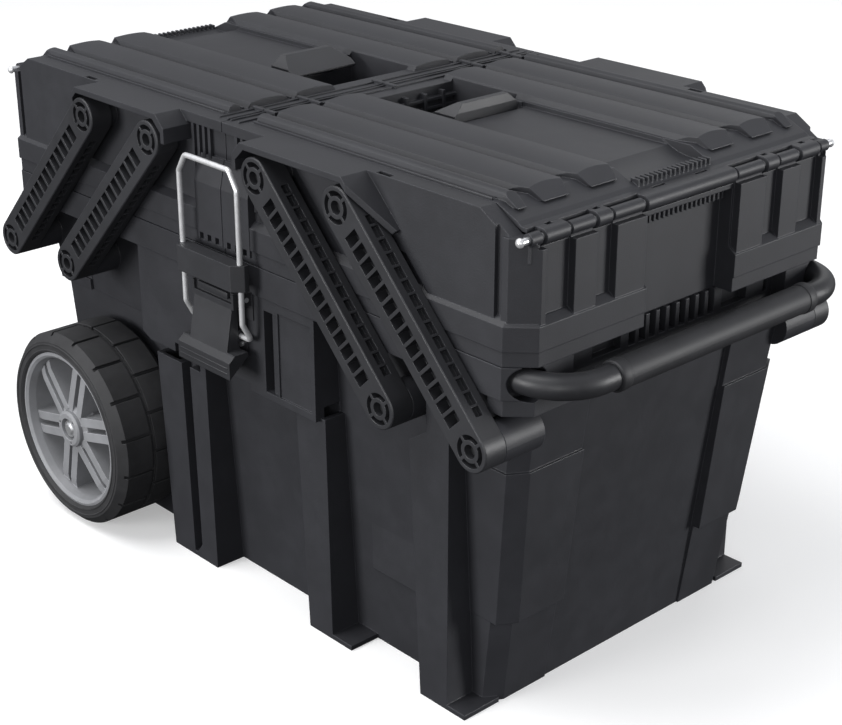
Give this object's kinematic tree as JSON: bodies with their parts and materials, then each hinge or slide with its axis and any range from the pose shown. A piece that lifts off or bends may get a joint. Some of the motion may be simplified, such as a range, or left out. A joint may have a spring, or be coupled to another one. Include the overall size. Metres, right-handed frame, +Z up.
{
  "type": "rolling cantilever toolbox",
  "caption": "Rolling moulded toolbox with deep bin, swing-out lidded cantilever trays, draw latch, wheels and pull-out handle.",
  "frame": {"origin": "on the ground, at the middle of the bin: under the seam between the trays, halfway between front and rear", "axes": "+X towards the pull handle, -X towards the wheels, -Y towards the draw latch, +Z up"},
  "size_m": [0.67, 0.42, 0.4115],
  "materials": {
    "charcoal_plastic": "satin moulded polypropylene with a fine leather-like grain",
    "black_plastic": "fine matte moulded nylon",
    "grey_hub_plastic": "satin moulded plastic",
    "tyre_rubber": "matte ribbed tread rubber",
    "grip_rubber": "soft matte overmould",
    "painted_tube": "black powder coat",
    "zinc_steel": "bright zinc plate"
  },
  "bodies": {
    "base": {"axle": "zinc_steel", "axle_push_nuts": "zinc_steel", "base_arm_pins": "zinc_steel", "base_bin": "charcoal_plastic", "base_rim": "charcoal_plastic", "bracket_screws": "zinc_steel", "latch_bracket": "black_plastic", "latch_pin": "zinc_steel"},
    "front_wheel": {"front_wheel_hub": "grey_hub_plastic", "front_wheel_tyre": "tyre_rubber"},
    "rear_wheel": {"rear_wheel_hub": "grey_hub_plastic", "rear_wheel_tyre": "tyre_rubber"},
    "pull_handle": {"handle_end_plugs": "black_plastic", "handle_grip": "grip_rubber", "handle_tube": "painted_tube"},
    "latch_lever": {"latch_lever": "black_plastic"},
    "latch_bail": {"bail_crossbar": "black_plastic", "latch_bail": "zinc_steel"},
    "right_outer_arms": {"right_front_outer_arm": "black_plastic", "right_rear_outer_arm": "black_plastic"},
    "right_inner_arms": {"right_front_inner_arm": "black_plastic", "right_rear_inner_arm": "black_plastic"},
    "right_tray": {"right_hinge_pin": "zinc_steel", "right_tray": "charcoal_plastic", "right_tray_arm_pins": "zinc_steel", "right_tray_dividers": "charcoal_plastic"},
    "right_lid": {"right_lid": "charcoal_plastic", "right_lid_latch_pin": "zinc_steel"},
    "right_lid_latch": {"right_lid_latch": "black_plastic"},
    "left_outer_arms": {"left_front_outer_arm": "black_plastic", "left_rear_outer_arm": "black_plastic"},
    "left_inner_arms": {"left_front_inner_arm": "black_plastic", "left_rear_inner_arm": "black_plastic"},
    "left_tray": {"left_hinge_pin": "zinc_steel", "left_tray": "charcoal_plastic", "left_tray_arm_pins": "zinc_steel", "left_tray_dividers": "charcoal_plastic"},
    "left_lid": {"left_lid": "charcoal_plastic", "left_lid_latch_pin": "zinc_steel"},
    "left_lid_latch": {"left_lid_latch": "black_plastic"}
  },
  "joints": [
    {"name": "front_wheel_spin", "type": "hinge", "parent": "base", "child": "front_wheel", "pos_m": [-0.199, -0.176, 0.089], "axis": [0, 1, 0], "continuous": true},
    {"name": "rear_wheel_spin", "type": "hinge", "parent": "base", "child": "rear_wheel", "pos_m": [-0.199, 0.176, 0.089], "axis": [0, 1, 0], "continuous": true},
    {"name": "handle_slide", "type": "slide", "parent": "base", "child": "pull_handle", "axis": [1, 0, 0], "range_m": [0, 0.28]},
    {"name": "latch_lever_swing", "type": "hinge", "parent": "base", "child": "latch_lever", "pos_m": [0, -0.177, 0.27], "axis": [-1, 0, 0], "range_deg": [0, 90]},
    {"name": "latch_bail_swing", "type": "hinge", "parent": "latch_lever", "child": "latch_bail", "pos_m": [0, -0.177, 0.238], "axis": [-1, 0, 0], "range_deg": [-90, 0]},
    {"name": "right_tray_swing", "type": "hinge", "parent": "base", "child": "right_outer_arms", "pos_m": [0.2927, 0, 0.241], "axis": [0, 1, 0], "range_deg": [0, 86]},
    {"name": "right_inner_arm_swing", "type": "hinge", "parent": "base", "child": "right_inner_arms", "pos_m": [0.2012, 0, 0.241], "axis": [0, 1, 0], "range_deg": [0, 86]},
    {"name": "right_tray_level", "type": "hinge", "parent": "right_outer_arms", "child": "right_tray", "pos_m": [0.1592, 0, 0.3784], "axis": [0, 1, 0], "range_deg": [-86, 0]},
    {"name": "right_lid_hinge", "type": "hinge", "parent": "right_tray", "child": "right_lid", "pos_m": [0.31, 0, 0.3858], "axis": [0, 1, 0], "range_deg": [0, 105]},
    {"name": "right_lid_latch_tilt", "type": "hinge", "parent": "right_lid", "child": "right_lid_latch", "pos_m": [0.108, 0, 0.3956], "axis": [0, 1, 0], "range_deg": [0, 12], "stiffness_Nm_per_rad": 0.1},
    {"name": "left_tray_swing", "type": "hinge", "parent": "base", "child": "left_outer_arms", "pos_m": [-0.2927, 0, 0.241], "axis": [0, -1, 0], "range_deg": [0, 86]},
    {"name": "left_inner_arm_swing", "type": "hinge", "parent": "base", "child": "left_inner_arms", "pos_m": [-0.2012, 0, 0.241], "axis": [0, -1, 0], "range_deg": [0, 86]},
    {"name": "left_tray_level", "type": "hinge", "parent": "left_outer_arms", "child": "left_tray", "pos_m": [-0.1592, 0, 0.3784], "axis": [0, -1, 0], "range_deg": [-86, 0]},
    {"name": "left_lid_hinge", "type": "hinge", "parent": "left_tray", "child": "left_lid", "pos_m": [-0.31, 0, 0.3858], "axis": [0, -1, 0], "range_deg": [0, 105]},
    {"name": "left_lid_latch_tilt", "type": "hinge", "parent": "left_lid", "child": "left_lid_latch", "pos_m": [-0.108, 0, 0.3956], "axis": [0, -1, 0], "range_deg": [0, 12], "stiffness_Nm_per_rad": 0.1}
  ],
  "couplings": [
    {"joint": "latch_bail_swing", "follows": "latch_lever_swing", "ratio": -1},
    {"joint": "right_inner_arm_swing", "follows": "right_tray_swing", "ratio": 1},
    {"joint": "right_tray_level", "follows": "right_tray_swing", "ratio": -1},
    {"joint": "left_inner_arm_swing", "follows": "left_tray_swing", "ratio": 1},
    {"joint": "left_tray_level", "follows": "left_tray_swing", "ratio": -1}
  ]
}
